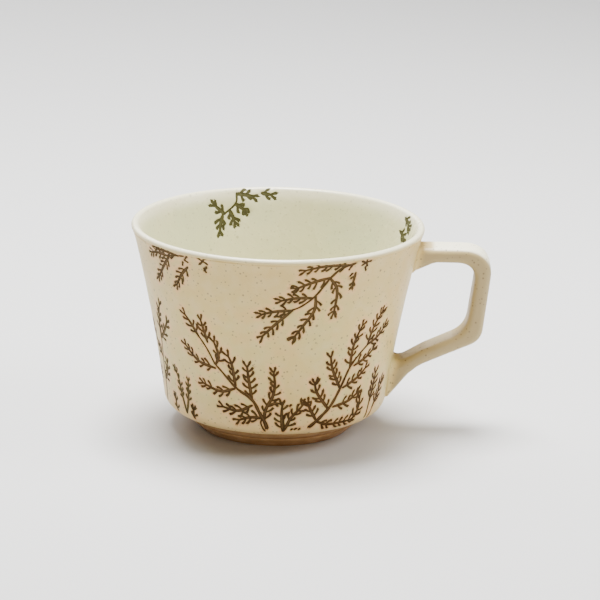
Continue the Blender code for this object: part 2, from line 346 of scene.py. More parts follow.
class Drawing:
    """The strokes pressed into one turned surface."""

    def __init__(self, outline, seed):
        self.outline = outline
        self.strokes = []
        self.random = random.Random(seed)

    def stretch(self, s):
        """Plane millimetres for one true millimetre round the mug at this distance."""
        return REFERENCE_RADIUS / np.interp(s, self.outline.s, self.outline.radius)

    def plane(self, points):
        """Control points in degrees and heights, as points in the plane."""
        degrees, heights = np.array(points, float).T
        across = np.radians(degrees) * REFERENCE_RADIUS
        return np.column_stack([across, self.outline.distance_at(heights)])

    def true_steps(self, path):
        """The steps between a path's points in true millimetres."""
        steps = np.diff(path, axis=0)
        steps[:, 0] /= self.stretch((path[:-1, 1] + path[1:, 1]) / 2)
        return steps

    def smooth(self, points, step=0.8):
        """A smooth path through the points, with a point every step."""
        ends = np.vstack([2 * points[0] - points[1], points, 2 * points[-1] - points[-2]])
        fine = []
        for p0, p1, p2, p3 in zip(ends, ends[1:], ends[2:], ends[3:]):
            t = np.linspace(0, 1, 12, endpoint=False)[:, None]
            square, cube = 2 * p0 - 5 * p1 + 4 * p2 - p3, 3 * p1 - p0 - 3 * p2 + p3
            fine.append(0.5 * (2 * p1 + (p2 - p0) * t + square * t**2 + cube * t**3))
        fine = np.vstack([*fine, points[-1:]])
        along = distances(self.true_steps(fine))
        wanted = np.linspace(0, along[-1], max(3, round(along[-1] / step) + 1))
        return points_at(wanted, along, fine), along[-1]

    def stroke(self, path, half_widths, tone):
        """Keeps a stroke: its path, its half width at each point, and its tone."""
        self.strokes.append((np.asarray(path), half_widths, tone))

    def leaf(self, base, heading, length, half_width, curl, tone):
        """A leaflet: a short blunt stroke whose heading turns by curl on the way."""
        path = [np.array(base)]
        for share, turn in ((0.4, 0.2), (0.35, 0.6), (0.25, 1.0)):
            x = share * length * math.cos(heading + curl * turn)
            y = share * length * math.sin(heading + curl * turn)
            path.append(path[-1] + (x * self.stretch(path[-1][1]), y))
        self.stroke(path, LEAF_SHAPE * half_width, tone)

    def frond(self, points, half_width=0.385, leaf_length=2.75, gap=2.35, bare=0.06, tone=0.0):
        """A side shoot with leaflets in loose pairs, and a forked tip. The path stops short of the
        last control point by two steps, which the fork fills."""
        path, length = self.smooth(self.plane(points))
        kept = max(3, len(path) - 2)
        length *= (kept - 1) / (len(path) - 1)
        path = path[:kept]
        share = np.linspace(0, 1, len(path))
        self.stroke(path, half_width * np.interp(share, *RIB_SHAPE), tone)
        at = bare * length + 0.3 * gap
        while at < length - 0.7:
            for side in (-1, 1):
                t = min((at + gap * self.random.uniform(0.0, 0.3)) / length, 0.97)
                base = points_at(t, share, path)[0]
                i = min(int(t * (len(path) - 1)), len(path) - 2)
                run = self.true_steps(path[i : i + 2])[0]
                spread = math.radians(self.random.uniform(*LEAF_SPREAD) - 10 * t)
                heading = math.atan2(run[1], run[0]) + side * spread
                size = leaf_length * self.random.uniform(*LEAF_SIZES) * (1.05 - 0.2 * t)
                curl = -side * self.random.uniform(*LEAF_CURL)
                shade = max(0.0, tone + self.random.uniform(*LEAF_SHADES))
                if self.random.random() > MISSING_LEAVES:
                    width = half_width * self.random.uniform(0.9, 1.1)
                    self.leaf(base, heading, size, width, curl, shade)
            at += gap * self.random.uniform(0.88, 1.12)
        run = self.true_steps(path[-2:])[0]
        heading = math.atan2(run[1], run[0]) + self.random.uniform(-0.15, 0.15)
        for side in (-1, 1):
            size = self.random.uniform(0.65, 0.85) * leaf_length
            turned = heading + side * self.random.uniform(0.5, 0.7)
            self.leaf(path[-1], turned, size, half_width, -side * 0.3, tone)

    def stem(self, points, root=0.66, tip=0.32, tone=0.0):
        """A bare woody stem that grows thinner towards its tip."""
        path, length = self.smooth(self.plane(points))
        t = np.linspace(0, 1, len(path))
        knots = 1 + 0.12 * np.sin(length * t * 1.7)
        self.stroke(path, (root + (tip - root) * t) * knots, tone)

    def crumb(self, degrees, height, length=1.1, lean=0.0, tone=0.0):
        """A loose bit of leaf."""
        base = self.plane([(degrees, height)])[0]
        self.leaf(base, math.radians(-90 + lean), length, half_width=0.38, curl=0.2, tone=tone)


pressed = Drawing(wall, seed=4)
print(f"a millimetre at the foot is {pressed.stretch(wall.length):.2f} mm wide in the plane")

# %% [markdown]
# The front of the mug carries one large twig that leans to the left, one that leans to the right,
# a small forked one between them, and a branch that hangs from the rim. They are set out one by
# one, so that their composition is the maker's own, and only their leaflets are drawn by rule. Each
# twig has a bare stem, and the shoots follow as lists of control points, from stem to tip.

# %% Twig that leans to the left
pressed.stem(
    [(-3.2, 10.4), (-4.2, 12.5), (-7, 16), (-10.5, 20.5), (-18.5, 24.5), (-25, 29.5), (-28.5, 32)],
    tone=0.1,
)
pressed.stem([(-28.5, 32), (-32.5, 37.5), (-38, 43)], root=0.32, tone=0.2)
for shoot in (
    [(-10.5, 20.5), (-11.8, 27), (-12.8, 34)],
    [(-18.5, 25), (-20, 33), (-22.5, 37)],
    [(-28, 32), (-26.3, 35.5), (-28.8, 41.5)],
    [(-31.5, 39.5), (-34.5, 48.8)],
    [(-36, 41), (-40, 45.5), (-44, 49)],
    [(-5.5, 14), (-12, 14), (-19.5, 12)],
    [(-10.5, 18.5), (-18, 16), (-28, 17)],
    [(-19, 24), (-27, 22.3), (-38.5, 24.5)],
    [(-28.5, 30.5), (-38, 32), (-46.5, 37.5)],
    [(-4.5, 12), (-4.3, 16), (-2.8, 19), (-0.6, 22), (0.4, 26.5), (-0.5, 32.5)],
):
    pressed.frond(shoot, tone=0.1)
pressed.frond([(-1.8, 19), (1, 19.6), (5.5, 19.4)], leaf_length=1.4, gap=4.0, tone=0.2)
pressed.stem([(-4.2, 9), (-5.4, 10.5), (-6.3, 12.5), (-5.4, 14)], root=0.3, tip=0.26)
print(len(pressed.strokes), "strokes so far")

# %% [markdown]
# Between the two large twigs a small one forks right at the glaze line. A few crumbs of leaf came
# off under the maker's thumb and left their own marks.

# %% Small forked twig
pressed.frond([(5, 9), (4.3, 12), (4, 16), (4.4, 20.5)], tone=0.2)
pressed.frond([(5, 9), (8.5, 14), (12.8, 17.5), (15.8, 20.3)], bare=0.12, tone=0.1)
for degrees, height in ((8, 18.6), (9, 9.6), (11, 9.8), (13, 9.6)):
    pressed.crumb(degrees, height, length=0.6, lean=30)
print(len(pressed.strokes), "strokes so far")

# %% [markdown]
# The twig that leans to the right is the darkest, because it was rubbed with the most oxide. Two
# young shoots stand past it, with their leaves held close, near the lower root of the handle.

# %% Twig that leans to the right
pressed.stem(
    [(18.5, 10.5), (23.5, 13.5), (29, 17.5), (33.5, 23.5), (37.5, 30.5), (42.5, 35), (47, 37.8)]
)
for shoot in (
    [(22, 12.3), (28, 10.8), (36, 10.6), (45, 10.8)],
    [(43.5, 10.6), (47.3, 14.5), (47.2, 20)],
    [(30.5, 17), (40, 18.3), (47, 21.5)],
    [(35, 23.5), (44, 26.5), (49.5, 30)],
    [(40, 31), (48, 33.4), (53, 36.3)],
    [(47, 37.8), (54, 40), (59, 43.8)],
    [(46.5, 37.5), (49, 44), (54.2, 50)],
    [(21.5, 13), (18.3, 17), (16, 20.6)],
    [(28, 16.3), (21, 23), (19.3, 28)],
    [(33.5, 23.2), (28, 31), (26, 37)],
    [(37.5, 30.2), (38, 39), (42, 47)],
):
    pressed.frond(shoot, tone=0.0)

for stalk, head in (
    ([(54.5, 9.5), (56, 15)], [(56, 15), (57.2, 21), (57.5, 27)]),
    ([(57.5, 9.3), (60, 12.5)], [(60, 12.5), (64, 17.5), (67, 22.5)]),
):
    pressed.stem(stalk, root=0.36, tip=0.3, tone=0.3)
    pressed.frond(head, half_width=0.43, leaf_length=3.1, tone=0.0)
print(len(pressed.strokes), "strokes so far")

# %% [markdown]
# A branch hangs from the rim. Its end was pressed over the lip and trimmed off there, which left a
# star of loose leaves beside it. A crumb is placed by its root, its lean from straight down in
# degrees, and its length.

# %% Branch that hangs from the rim
pressed.stem(
    [(31.5, 69.3), (26, 68), (21.5, 64.6), (16.5, 59), (11, 55.3), (6.5, 53.7)],
    root=0.5,
    tip=0.28,
    tone=0.2,
)
for shoot in (
    [(30, 68.9), (19, 69.3), (9.5, 67.8)],
    [(21.5, 65), (14.5, 63.6), (6.5, 61)],
    [(15, 58), (8, 58.1), (0.5, 56.9)],
    [(6.5, 53.7), (-0.5, 53.2), (-7.5, 51.6)],
    [(7, 53.7), (0, 48.5), (-6.8, 43)],
    [(16.3, 59), (16.3, 53.5), (12, 48), (7, 42.5)],
    [(21.5, 65), (25.3, 60), (25, 50.5)],
):
    pressed.frond(shoot, tone=0.3)
pressed.frond([(32.6, 65.8), (31.8, 59.5)], leaf_length=1.7, tone=0.3)
for degrees, height, lean, length in (
    (29.3, 67.2, 25, 1.5),
    (30.2, 64.8, 35, 1.1),
    (36.8, 69.0, -75, 2.0),
    (36.8, 69.0, -125, 1.6),
    (36.8, 69.0, 75, 2.0),
    (36.8, 69.0, 150, 1.5),
    (36.8, 69.0, 5, 3.2),
    (37.4, 66.0, -25, 1.5),
):
    pressed.crumb(degrees, height, length, lean, tone=0.1)
print(len(pressed.strokes), "strokes at the front")

# %% [markdown]
# The left edge shows the ends of more twigs, paler and greener because the oxide lies thinner
# there: a small spray under the rim with its own star, a tall thin twig at the edge, and young
# shoots low down whose stalks are bare up to a third of their length.

# %% Twigs at the left
pressed.stem([(-38, 69.6), (-43, 69), (-47, 68)], root=0.3, tone=0.4)
for shoot in (
    [(-47, 68), (-54, 68), (-60.5, 66.6)],
    [(-41, 69.2), (-48, 69.6), (-55, 69.3)],
    [(-46.5, 68), (-51, 64), (-58, 57.5)],
    [(-37, 65.8), (-41, 62.5), (-45.8, 57)],
):
    pressed.frond(shoot, half_width=0.38, tone=0.3)
for degrees, height, lean, length in (
    (-37.5, 68.8, 40, 1.4),
    (-39.5, 66.2, 10, 1.2),
    (-36.4, 67.6, -70, 1.6),
    (-29.3, 69.1, 35, 2.2),
    (-29.3, 69.1, -60, 2.2),
    (-29.3, 69.1, 110, 1.7),
    (-29.3, 69.1, -140, 1.8),
    (-29.2, 65.6, 30, 1.9),
    (-28.3, 65.2, -30, 1.6),
):
    pressed.crumb(degrees, height, length, lean, tone=0.3)

pressed.stem([(-73, 11), (-71, 18), (-70, 25), (-68, 31), (-67, 35)], root=0.4, tone=0.6)
for shoot in (
    [(-67.3, 34.5), (-66, 41), (-61.5, 49)],
    [(-67.3, 34.5), (-62, 38), (-56.5, 43.3)],
    [(-69.5, 27), (-76, 33), (-79, 39)],
    [(-71, 19), (-66, 22.5), (-64.5, 27.5)],
):
    pressed.frond(shoot, half_width=0.46, leaf_length=2.7, tone=0.5)
for shoot, bare, tone in (
    ([(-50.3, 10.5), (-53, 17.5), (-54, 22), (-57.5, 27)], 0.3, 0.6),
    ([(-50, 11), (-48, 16), (-46.3, 24.5)], 0.35, 0.6),
    ([(-59.5, 9.6), (-60.2, 16.5)], 0.1, 0.4),
    ([(-45.3, 9.2), (-44.3, 14.8)], 0.1, 0.1),
):
    pressed.frond(shoot, half_width=0.38, leaf_length=2.0, bare=bare, tone=tone)
print(len(pressed.strokes), "strokes with the left side")


# %% [markdown]
# The same kind of twig goes on round the back, rising from the base and hanging from the rim. Out
# of sight of the main view nothing has to be placed by eye, so each is grown by rule: shoots leave
# the stem on alternate sides and get shorter towards its tip.

# %% Twigs round the back
def grow_twig(drawing, root, rise, lean, shoots, tone):
    """A whole twig from its root, (degrees, height). A negative rise hangs down."""
    lean_turn = lean / abs(rise)
    t = np.linspace(0, 1, 5)
    line = [(root[0] + lean * u**1.3, root[1] + rise * u) for u in t]
    drawing.stem(line, root=0.55, tip=0.3, tone=tone)
    for i in range(shoots):
        u = 0.16 + 0.78 * (i + 0.4 * drawing.random.random()) / shoots
        side = 1 if i % 2 else -1
        size = (0.42 - 0.24 * u) * abs(rise) * drawing.random.uniform(0.85, 1.15)
        base = (root[0] + lean * u**1.3, root[1] + rise * u)
        out = side * size * 1.05 + lean_turn * size * 0.5
        middle = (base[0] + 0.62 * out, base[1] + 0.32 * math.copysign(size, rise))
        tip = (base[0] + out, base[1] + 0.85 * math.copysign(size, rise))
        drawing.frond([base, middle, tip], tone=tone)
    top = line[-1]
    drawing.frond([top, (top[0] + 0.12 * lean, top[1] + 0.16 * rise)], tone=tone)


for root, rise, lean, shoots, tone in (
    ((-87, 9.6), 20, 4, 5, 0.4),
    ((-103, 10), 31, 14, 8, 0.1),
    ((-128, 9.8), 17, 5, 4, 0.3),
    ((-146, 10), 33, -17, 9, 0.0),
    ((-170, 9.8), 15, -2, 4, 0.2),
    ((-196, 10), 32, 15, 8, 0.1),
    ((-221, 9.8), 18, -6, 4, 0.4),
    ((-236, 9.8), 29, -12, 7, 0.2),
    ((-92, 69.2), -17, -10, 5, 0.3),
    ((-140, 69.2), -21, 16, 6, 0.2),
    ((-187, 69.2), -18, -13, 5, 0.3),
    ((-224, 69.2), -20, 15, 6, 0.2),
):
    grow_twig(pressed, root, rise, lean, shoots, tone)
print(len(pressed.strokes), "strokes on the whole wall")

# %% [markdown]
# Inside the rim are a few small sprigs. They were pressed more softly and the liner glaze ran over
# them, so their leaflets are broad, close and green. One larger sprig hangs at the back, and the
# others come in pairs.

# %% Sprigs inside the rim
SOFT_LEAVES = {"half_width": 0.52, "leaf_length": 2.5, "gap": 2.3, "tone": 0.6}

inside = Drawing(liner, seed=9)
inside.stem([(-161, 70), (-160, 66.6), (-153.5, 63)], root=0.4, tone=0.6)
for shoot in (
    [(-160, 66.6), (-163, 65), (-165.5, 63)],
    [(-157, 64.7), (-158.5, 62), (-159.5, 59)],
    [(-154.5, 63.5), (-151, 66), (-148.5, 67.5)],
    [(-153.5, 63), (-152, 60), (-151, 56.5)],
    [(-161, 70), (-166, 69.3), (-170, 68.5)],
    [(-172, 69.9), (-175.5, 69.4), (-178, 68.8)],
    [(-249, 69.6), (-254, 68.6), (-258.5, 66.6)],
    [(-248, 64.8), (-253, 64), (-257, 62)],
    [(-50, 69.4), (-44, 67), (-41, 62.5)],
    [(-49, 69.4), (-52, 66), (-51, 61)],
    [(20, 69.4), (25, 66.5), (27, 62)],
    [(22, 69.2), (17, 66.2), (15.5, 62.5)],
):
    inside.frond(shoot, **SOFT_LEAVES)
print(len(inside.strokes), "strokes inside the rim")

# %% [markdown]
# A stroke is a path with a half width at each of its points. Two questions are asked about it: what
# its outline is, to cut the mesh along, and how near any point of the surface is to a stroke, to
# sink and colour that point. Points are asked about in blocks from left to right, so that each
# block is only compared with the strokes near it.

# %% How far each point is from a stroke
BLOCK = 300


def stroke_outline(drawing, path, half):
    """A stroke's closed outline, with blunt ends."""
    run = np.gradient(path, axis=0)
    run[:, 0] /= drawing.stretch(path[:, 1])
    run /= np.linalg.norm(run, axis=1)[:, None]
    widen = np.column_stack([drawing.stretch(path[:, 1]), np.ones(len(path))])
    side = np.column_stack([-run[:, 1], run[:, 0]]) * half[:, None] * widen
    tip = path[-1] + run[-1] * half[-1] * widen[-1] * 0.8
    root = path[0] - run[0] * half[0] * widen[0] * 0.8
    return np.vstack([path + side, tip, (path - side)[::-1], root])


def nearest_stroke(drawing, points, reach=1.6):
    """For each point: its distance outside the nearest stroke, how far across that stroke it lies
    (0 in the middle, 1 at the edge), the stroke's half width, and its tone."""
    starts = np.vstack([path[:-1] for path, _, _ in drawing.strokes])
    ends = np.vstack([path[1:] for path, _, _ in drawing.strokes])
    start_half = np.concatenate([half[:-1] for _, half, _ in drawing.strokes])
    end_half = np.concatenate([half[1:] for _, half, _ in drawing.strokes])
    tones = np.concatenate([np.full(len(path) - 1, tone) for path, _, tone in drawing.strokes])
    found = np.tile([reach, 1.0, 0.3, 0.0], (len(points), 1))
    order = np.argsort(points[:, 0])
    rightmost, leftmost = np.maximum(starts, ends)[:, 0], np.minimum(starts, ends)[:, 0]
    for block in np.array_split(order, max(1, len(points) // BLOCK)):
        low, high = points[block, 0].min() - 2 * reach, points[block, 0].max() + 2 * reach
        near = (rightmost > low) & (leftmost < high)
        if not near.any():
            continue
        squeeze = 1 / drawing.stretch(points[block, 1])
        scale = np.column_stack([squeeze, np.ones(len(block))])[:, None]
        run = (ends - starts)[near] * scale
        away = (points[block][:, None] - starts[near]) * scale
        t = np.clip((away * run).sum(2) / np.maximum((run**2).sum(2), 1e-9), 0, 1)
        gap = np.linalg.norm(away - t[:, :, None] * run, axis=2)
        half = start_half[near] + t * (end_half - start_half)[near]
        best = np.argmin(gap - half, axis=1)
        row = np.arange(len(block))
        gap, half = gap[row, best], half[row, best]
        nearest = np.column_stack([gap - half, gap / half, half, tones[near][best]])
        closer = nearest[:, 0] < reach
        found[block[closer]] = nearest[closer]
    return found


front = nearest_stroke(pressed, pressed.plane([(-10.5, 20.5)]))[0]
print(f"at the first fork of the left twig a point is {-front[0]:.2f} mm inside a stroke")


# %% [markdown]
# A pressed stroke is a shallow channel, deepest in its middle, with a soft shoulder where the glaze
# ran over its edge. Oxide stays in the channel. It is thinner on the floor of a wide stem, which
# the sponge wiped clean, and a faint rusty haze bleeds into the glaze beside every stroke. Depth
# and oxide are worked out from the same measure, so the colour always lies in the relief.

# %% Depth and oxide of a stroke
GROOVE = 0.24
SHOULDER = 0.07
SHOULDER_REACH = 0.3
WIDE_STROKE = 0.38
WIPED_OFF = 0.22
HAZE = 0.34
HAZE_REACH = 0.28
BLUSH_REACH = 1.5


def groove_depth(near):
    """How deep the surface is sunk by the nearest stroke."""
    outside, across, half, _ = near.T
    floor = np.minimum(GROOVE, 0.75 * half)
    inside = SHOULDER + (floor - SHOULDER) * (1 - np.clip(across, 0, 1) ** 2)
    shoulder = SHOULDER * np.exp(-np.clip(outside, 0, None) / SHOULDER_REACH)
    return np.where(outside < 0, inside, shoulder)


def oxide_amount(near, inside):
    """How much oxide lies here, from 0 to 1."""
    outside, across, half, _ = near.T
    wiped = np.clip((half - WIDE_STROKE) / 0.15, 0, 1) * (1 - np.clip(across, 0, 1) ** 2)
    haze = HAZE * np.exp(-np.clip(outside, 0, None) / HAZE_REACH)
    return np.where(inside, 1.0 - WIPED_OFF * wiped, haze)


def blush_amount(near):
    """1 beside a stroke, falling to 0 at a leaf's width from it."""
    return np.clip(1 - near[:, 0] / BLUSH_REACH, 0, 1)


print(f"the same point is sunk by {groove_depth(front[None])[0]:.2f} mm")


# %% [markdown]
# A mesh can only carry a crisp mark if its own edges follow it. The unrolled surface is therefore
# triangulated with the outline of every stroke as a fixed edge, loose points down the middle of a
# stroke and in two rings round it, and a plain lattice where nothing was pressed. A subdivided grid
# with the marks as a displacement would need many times the faces for edges as crisp as these.

# %% Triangles that follow the strokes
RING_GAPS = (0.28, 0.7)
LATTICE_GAP = 1.0
LOOSE_SPACING = 0.33
ROW_MARGIN = 0.25
MERGE_DISTANCE = 0.002


def press(drawing, rows):
    """Triangles of the unrolled surface between the first and the last row."""
    left, right = (SEAM - 2 * math.pi) * REFERENCE_RADIUS, SEAM * REFERENCE_RADIUS
    u, v = (a.ravel() for a in np.meshgrid(np.linspace(left, right, COLUMNS + 1), rows))
    lattice = np.column_stack([u, v])
    edge = (v == rows[0]) | (v == rows[-1]) | (u == left) | (u == right)
    lattice = lattice[edge | (nearest_stroke(drawing, lattice)[:, 0] > LATTICE_GAP)]
    outlines, edges, loose, count = [], [], [], len(lattice)
    for path, half, _ in drawing.strokes:
        outlines.append(stroke_outline(drawing, path, half))
        numbers = np.arange(count, count + len(outlines[-1]))
        edges += zip(numbers.tolist(), np.roll(numbers, -1).tolist())
        count += len(numbers)
        loose.append(path[1:-1])
        loose += [stroke_outline(drawing, path, half + gap) for gap in RING_GAPS]
    loose = np.vstack(loose)
    loose = loose[np.unique(np.round(loose / LOOSE_SPACING), axis=0, return_index=True)[1]]
    near = nearest_stroke(drawing, loose)
    marks = np.vstack([*outlines, loose[(near[:, 0] > 0.2) | (near[:, 1] < 0.15)]])
    marks[:, 1] = np.clip(marks[:, 1], rows[0] + ROW_MARGIN, rows[-1] - ROW_MARGIN)
    points = np.vstack([lattice, marks]).tolist()
    flat, _, triangles, *_ = delaunay_2d_cdt(points, edges, [], 0, MERGE_DISTANCE)
    print(f"{len(lattice)} lattice points and {len(marks)} of strokes: {len(triangles)} triangles")
    return np.array([tuple(p) for p in flat]), np.array(triangles)


# %% [markdown]
# Every piece is gathered as rings of points and the bands of faces between them. Going round the
# ring with the run of the outline, the face of the piece is always on the same side.

# %% Shapes from rings
class Shape:
    """The points and faces of one piece, in millimetres."""

    def __init__(self):
        self.points, self.faces, self.count = [], [], 0

    def add(self, points):
        """Adds points and returns their numbers."""
        self.points.append(np.asarray(points, float).reshape(-1, 3))
        self.count += len(self.points[-1])
        return np.arange(self.count - len(self.points[-1]), self.count)

    def band(self, first, second):
        """Four-sided faces between two rings with as many points each."""
        corners = [first, second, np.roll(second, -1), np.roll(first, -1)]
        self.faces += np.column_stack(corners).tolist()

    def bands(self, rings):
        """A band between each ring and the next."""
        for first, second in zip(rings, rings[1:]):
            self.band(first, second)

    def close(self, ring, outward=True):
        """Fills a ring with triangles round its middle."""
        middle = self.add(np.vstack(self.points)[ring].mean(axis=0))[0]
        fan = np.column_stack([np.full(len(ring), middle), ring, np.roll(ring, -1)])
        self.faces += (fan if outward else fan[:, ::-1]).tolist()

    def build(self, name, corner_values=None):
        """The finished object. Values given for the corners of the first faces end in zeros."""
        mesh = bpy.data.meshes.new(name)
        mesh.from_pydata((np.vstack(self.points) * MM).tolist(), [], self.faces)
        for key, values in (corner_values or {}).items():
            padded = np.zeros(len(mesh.loops), np.float32)
            padded[: len(values)] = values
            mesh.attributes.new(key, "FLOAT", "CORNER").data.foreach_set("value", padded)
        mesh.shade_smooth()
        made = bpy.data.objects.new(name, mesh)
        bpy.context.scene.collection.objects.link(made)
        print(f"{name}: {len(mesh.vertices)} points, {len(mesh.polygons)} faces")
        return made


print("an empty shape has", Shape().count, "points")


# %% [markdown]
# A coat of glaze is a thin closed skin. Its face is the pressed surface, its back a plain lattice
# half a millimetre deeper, and the two are joined along their edges. The seam of the unrolled
# surface closes on itself behind the handle. The liner starts at the middle of the floor, where
# nothing was pressed, with plain turned rings.

# %% A coat of glaze
COAT = 0.46
EDGE_ANGLE = 1e-5
EDGE_ROW = 1e-3


def build_coat(name, drawing, turned_rows, rows, wander):
    """A closed coat over the drawing's outline: plain turned rows, then the pressed part."""
    outline, shape = drawing.outline, Shape()
    flat, triangles = press(drawing, rows)
    near = nearest_stroke(drawing, flat)
    angle = flat[:, 0] / REFERENCE_RADIUS
    shape.add(on_mug(outline, angle, flat[:, 1], groove_depth(near), wander))

    by_height = np.argsort(flat[:, 1])
    at_start = by_height[angle[by_height] < SEAM - 2 * math.pi + EDGE_ANGLE]
    at_end = by_height[angle[by_height] > SEAM - EDGE_ANGLE]
    number = np.arange(len(flat))
    number[at_end] = at_start
    clockwise = triangles[:, ::-1]
    shape.faces = number[clockwise].tolist()
    inside = nearest_stroke(drawing, flat[triangles].mean(axis=1))[:, 0] < 0
    corner = near[clockwise.ravel()]
    oxide = oxide_amount(corner, np.repeat(inside, 3))
    values = {"oxide": oxide, "tone": corner[:, 3], "blush": blush_amount(corner)}

    def face_ring(s):
        found = np.where(np.abs(flat[:, 1] - s) < EDGE_ROW)[0]
        return found[np.argsort(angle[found])][:-1]

    def turned_ring(s, depth):
        around = np.linspace(SEAM - 2 * math.pi, SEAM, COLUMNS, endpoint=False)
        return shape.add(on_mug(outline, around, np.full(COLUMNS, s), depth, wander))

    first, last = face_ring(rows[0]), face_ring(rows[-1])
    plain = [turned_ring(s, 0.0) for s in turned_rows]
    back = [turned_ring(s, COAT) for s in [*turned_rows, *rows]]
    shape.bands([*plain, first])
    shape.bands([last, *back[::-1]])
    if plain:
        shape.close(plain[0])
        shape.close(back[0], outward=False)
    else:
        shape.band(back[0], first)
    return shape.build(name, values)


print("a coat is", COAT, "mm thick")

# %% [markdown]
# The rows are close where the outline turns, at the lap, the bead and the lip, and wide on the
# straight wall. The outer coat has no plain rows. The glaze line of the outer coat wanders more
# than the lap of the liner, because it was cut by hand with a sponge.

# %% The two coats
LAP_ROWS_END = 3
TURN_ROWS_START = 58
PRESSED_START = 62
ROW_STEP = 1.5

lip_start = float(liner.distance_at(NECK[1]))
lip_rows = np.linspace(lip_start, liner.length, 26)
liner_rows = np.r_[np.arange(PRESSED_START, lip_start, ROW_STEP), lip_rows]
floor_rows = np.r_[1.0, np.arange(3, PRESSED_START - 0.5, ROW_STEP)]
wall_rows = np.r_[
    np.linspace(0, LAP_ROWS_END, 9),
    np.linspace(LAP_ROWS_END, TURN_ROWS_START, 38)[1:],
    np.linspace(TURN_ROWS_START, wall.length, 22)[1:],
]
outer_coat = build_coat("glaze_outside", pressed, [], wall_rows, wander=0.35)
liner_coat = build_coat("glaze_inside", inside, floor_rows, liner_rows, wander=0.22)

# %% [markdown]
# The handle is a pulled strap. From the side it has an outer and an inner edge, each a run of
# straight lines with rounded corners. Rungs pair a place on one edge with a place on the other, and
# the strap's cross-section, a rectangle with well-rounded corners, is set across each rung. A
# corner is given as its distance from the mug's axis, its height and its radius.

# %% The strap's two edges
OUTER_EDGE = [(44, 64.9, 0), (74, 64.9, 8.5), (70.4, 32.4, 6), (47.4, 22.2, 16), (37.5, 9.4, 0)]
INNER_EDGE = [
    (43.0, 52.0, 0),
    (46.6, 56.4, 3),
    (53.6, 59.7, 6),
    (68.1, 59.7, 5.5),
    (64.95, 35.5, 8),
    (51, 29.1, 20),
    (33, 18.5, 0),
]
RUNGS = [
    ((wall_radius(64.9), 64.9), (wall_radius(56.6), 56.6)),
    ((54, 64.9), (54, 59.7)),
    ((64.5, 64.9), (62, 59.7)),
    ((74, 64.9), (68.1, 59.7)),
    ((73, 55.5), (67.3, 53.6)),
    ((70.8, 35.9), (65.5, 39.9)),
    ((70.4, 32.4), (64.95, 35.5)),
    ((67.2, 31), (60.9, 33.6)),
    ((53.2, 24.8), (51, 29.1)),
    ((47.4, 22.2), (45.2, 25.7)),
    ((wall_radius(11.9), 11.9), (wall_radius(22.2), 22.2)),
]


def rounded(corners):
    """A run of straight lines with a smooth bend in place of each corner that has a radius."""
    path = [np.array([corners[0][:2]])]
    for before, here, after in zip(corners, corners[1:], corners[2:]):
        a, b, c = (np.array(p[:2], float) for p in (before, here, after))
        before_length, after_length = np.linalg.norm(b - a), np.linalg.norm(c - b)
        cosine = np.dot(b - a, c - b) / before_length / after_length
        cut = 1.15 * here[2] * math.tan(math.acos(np.clip(cosine, -1, 1)) / 2)
        cut = min(cut, 0.49 * before_length, 0.49 * after_length)
        path.append(bend(toward(b, a, cut), b, toward(b, c, cut), 16))
    path.append(np.array([corners[-1][:2]]))
    return np.vstack(path)


class Edge:
    """An edge of the strap, measured along its length."""

    def __init__(self, corners):
        path = rounded(corners)
        along = distances(np.diff(path, axis=0))
        self.s = np.arange(0, along[-1], 0.05)
        self.path = points_at(self.s, along, path)

    def nearest(self, point):
        """How far along the edge its nearest place to a point is."""
        return self.s[np.argmin(np.linalg.norm(self.path - point, axis=1))]

    def at(self, s):
        """The places on the edge at these distances along it."""
        return points_at(s, self.s, self.path)


outer_edge, inner_edge = Edge(OUTER_EDGE), Edge(INNER_EDGE)
print(f"strap edges {outer_edge.s[-1]:.1f} mm and {inner_edge.s[-1]:.1f} mm long")

# %% [markdown]
# A section of the strap is a rounded rectangle. Each of its points is kept with the direction in
# which it faces, because the fillets push it out that way. The number of points is the same for
# every section, so that bands of faces can join them.

# %% A section of the strap
STRAP_ROUND = 2.3


def strap_section(half_height, half_width, count=9):
    """Points (towards the outer edge, across), each with the direction it faces."""
    corner = min(STRAP_ROUND, 0.9 * half_height)
    arcs = []
    for turn in range(4):
        angles = np.radians(np.linspace(90 * turn, 90 * turn + 90, count))
        out = np.column_stack([np.cos(angles), np.sin(angles)])
        centre = np.array([half_height - corner, half_width - corner]) * np.sign(out.mean(axis=0))
        arcs.append(np.column_stack([centre + corner * out, out]))
    return np.vstack(arcs)


print(len(strap_section(2.6, STRAP_HALF_WIDTH)), "points in a section")


# %% [markdown]
# Where the strap meets the wall the potter smoothed a fillet of clay round it. Every point of a
# section knows its gap to the wall, and within a fillet's radius of the wall it moves out from the
# strap on a quarter circle. The fillet is widest in the crook above the lower root, where a thumb
# smoothed it. The last section is curved to the wall and sunk a little into it. A step of 1 goes
# from one rung to the next, and the steps are shortest at the two roots.

# %% The handle
SIDE_FILLET = 1.8
UPPER_FILLETS = (1.5, 1.3)
LOWER_FILLETS = (1.2, 5.0)
ROOT_SUNK = 0.6
WALL_OVERLAP = 0.1
SIDE_MARGIN = 0.05
ROOT_STEPS = [-0.1, 0.0, 0.015, 0.035, 0.06, 0.095, 0.14, 0.2, 0.28, 0.38, 0.5, 0.64, 0.8]


def skin_radius(height):
    """The outer wall's radius, which turns in under the lowest part of the handle."""
    return np.interp(-np.asarray(height), -wall.height, wall.radius)


def strap_steps(outer_s):
    """Where the sections stand, in rungs, about a millimetre apart between the roots."""
    last = len(outer_s) - 1
    steps = [ROOT_STEPS]
    for i in range(1, last - 1):
        count = max(3, round(outer_s[i + 1] - outer_s[i]))
        steps.append(np.linspace(i, i + 1, count, endpoint=False))
    return np.concatenate([*steps, last - np.array(ROOT_STEPS[::-1])])


